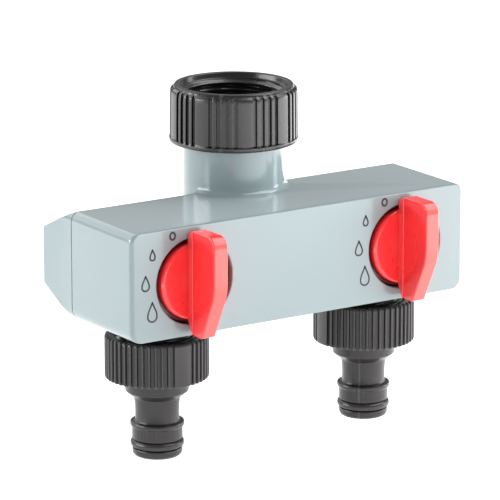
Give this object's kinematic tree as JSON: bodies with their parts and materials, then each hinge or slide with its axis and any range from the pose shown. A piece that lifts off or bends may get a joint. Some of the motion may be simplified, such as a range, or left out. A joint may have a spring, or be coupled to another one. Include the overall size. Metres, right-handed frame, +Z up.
{
  "type": "two-way hose splitter",
  "caption": "Garden tap splitter: a swivel inlet nut over a grey manifold housing, quarter-turn red knobs and screw-on quick-connect hose tails below.",
  "frame": {"origin": "on the inlet axis inside the swivel nut's thread, 1.2 mm above the sealing face of the inlet washer", "axes": "+X along the housing's width, to the right as seen from the knobs; +Y to the back, away from the knobs; +Z up, out of the inlet nut's mouth"},
  "size_m": [0.128, 0.0759, 0.1144],
  "materials": {
    "grey_plastic": "glossy light grey-blue moulded plastic",
    "red_plastic": "glossy red moulded plastic",
    "black_plastic": "semi-gloss black moulded plastic",
    "dark_plastic": "semi-gloss charcoal moulded plastic",
    "inner_plastic": "matte dark moulded plastic",
    "rubber": "smooth black sealing rubber",
    "steel": "plain stainless steel"
  },
  "bodies": {
    "housing": {"front_shell": "grey_plastic", "back_cover": "grey_plastic", "cover_screws": "steel", "manifold": "grey_plastic", "end_plug_left": "inner_plastic", "end_plug_right": "inner_plastic", "inlet_washer": "rubber", "nut_retaining_ring": "steel", "valve_bonnet_left": "inner_plastic", "valve_bonnet_right": "inner_plastic", "port_seal_left": "rubber", "port_seal_right": "rubber", "outlet_spout_left": "dark_plastic", "outlet_spout_right": "dark_plastic", "spout_o_ring_left": "rubber", "spout_o_ring_right": "rubber"},
    "swivel_nut": {"inlet_nut": "black_plastic"},
    "left_valve": {"knob_left": "red_plastic", "valve_rotor_left": "inner_plastic", "rotor_o_ring_left": "rubber"},
    "right_valve": {"knob_right": "red_plastic", "valve_rotor_right": "inner_plastic", "rotor_o_ring_right": "rubber"},
    "left_washer": {"outlet_washer_left": "rubber"},
    "right_washer": {"outlet_washer_right": "rubber"},
    "left_tail": {"outlet_adaptor_left": "dark_plastic", "nipple_o_ring_left": "rubber"},
    "right_tail": {"outlet_adaptor_right": "dark_plastic", "nipple_o_ring_right": "rubber"}
  },
  "joints": [
    {"name": "inlet_nut_spin", "type": "hinge", "parent": "housing", "child": "swivel_nut", "pos_m": [0, 0, 0], "axis": [0, 0, 1], "continuous": true},
    {"name": "left_knob_turn", "type": "hinge", "parent": "housing", "child": "left_valve", "pos_m": [-0.0405, -0.0167, -0.04025], "axis": [0, -1, 0], "range_deg": [0, 90]},
    {"name": "right_knob_turn", "type": "hinge", "parent": "housing", "child": "right_valve", "pos_m": [0.0405, -0.0167, -0.04025], "axis": [0, -1, 0], "range_deg": [0, 90]},
    {"name": "left_tail_drop", "type": "slide", "parent": "housing", "child": "left_washer", "axis": [0, 0, -1], "range_m": [0, 0.011]},
    {"name": "left_tail_turn", "type": "hinge", "parent": "left_washer", "child": "left_tail", "pos_m": [-0.0405, -0.0167, -0.0625], "axis": [0, 0, -1], "range_deg": [0, 2183.1]},
    {"name": "right_tail_drop", "type": "slide", "parent": "housing", "child": "right_washer", "axis": [0, 0, -1], "range_m": [0, 0.011]},
    {"name": "right_tail_turn", "type": "hinge", "parent": "right_washer", "child": "right_tail", "pos_m": [0.0405, -0.0167, -0.0625], "axis": [0, 0, -1], "range_deg": [0, 2183.1]}
  ],
  "couplings": [
    {"joint": "left_tail_turn", "follows": "left_tail_drop", "rad_per_m": 3463.7},
    {"joint": "right_tail_turn", "follows": "right_tail_drop", "rad_per_m": 3463.7}
  ]
}
